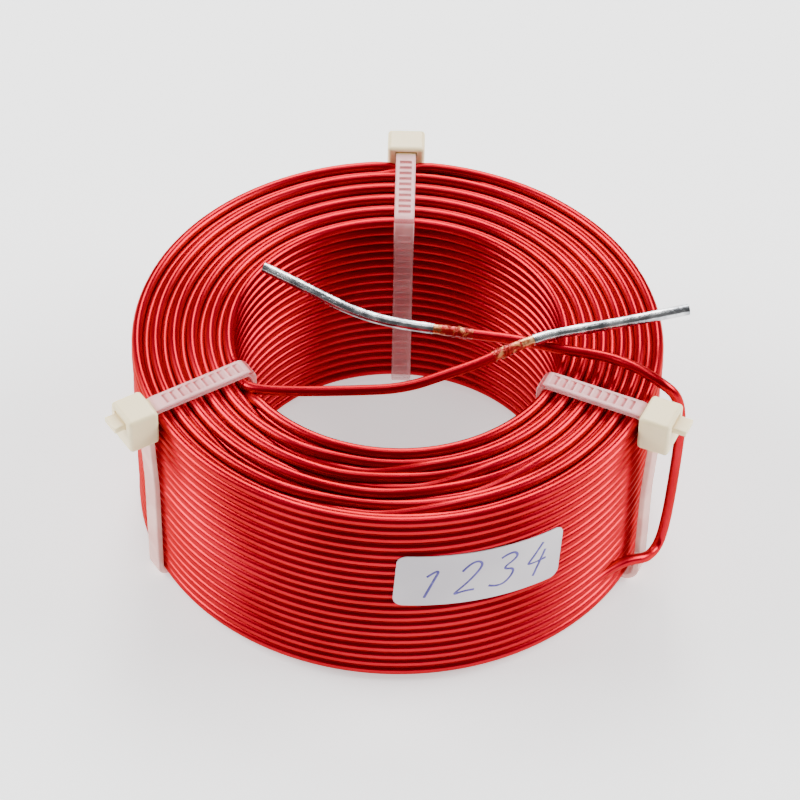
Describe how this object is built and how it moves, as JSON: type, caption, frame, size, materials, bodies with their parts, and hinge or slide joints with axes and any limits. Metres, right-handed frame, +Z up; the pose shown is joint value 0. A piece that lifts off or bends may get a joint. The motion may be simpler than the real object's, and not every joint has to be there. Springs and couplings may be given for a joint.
{
  "type": "crossover inductor",
  "caption": "Air-cored crossover inductor: enamelled copper wire wound in nested layers into a ring, held by nylon cable ties, with two tinned leads over the top.",
  "frame": {"origin": "on the axis of the coil, in the plane that the coil stands on", "axes": "+Z up along the axis of the coil; +Y towards the back cable tie; -Y towards the side with the label"},
  "size_m": [0.071, 0.0708, 0.0323],
  "materials": {
    "enamelled_wire": "gloss red enamel on copper wire",
    "solder": "bright solder coat",
    "nylon": "natural nylon, milky and a little translucent",
    "paper": "matt white paper"
  },
  "bodies": {
    "root": {"winding": "enamelled_wire", "start_lead_tinning": "solder", "finish_lead_tinning": "solder", "cable_tie_left": "nylon", "cable_tie_right": "nylon", "cable_tie_back": "nylon", "label": "paper"}
  },
  "joints": []
}
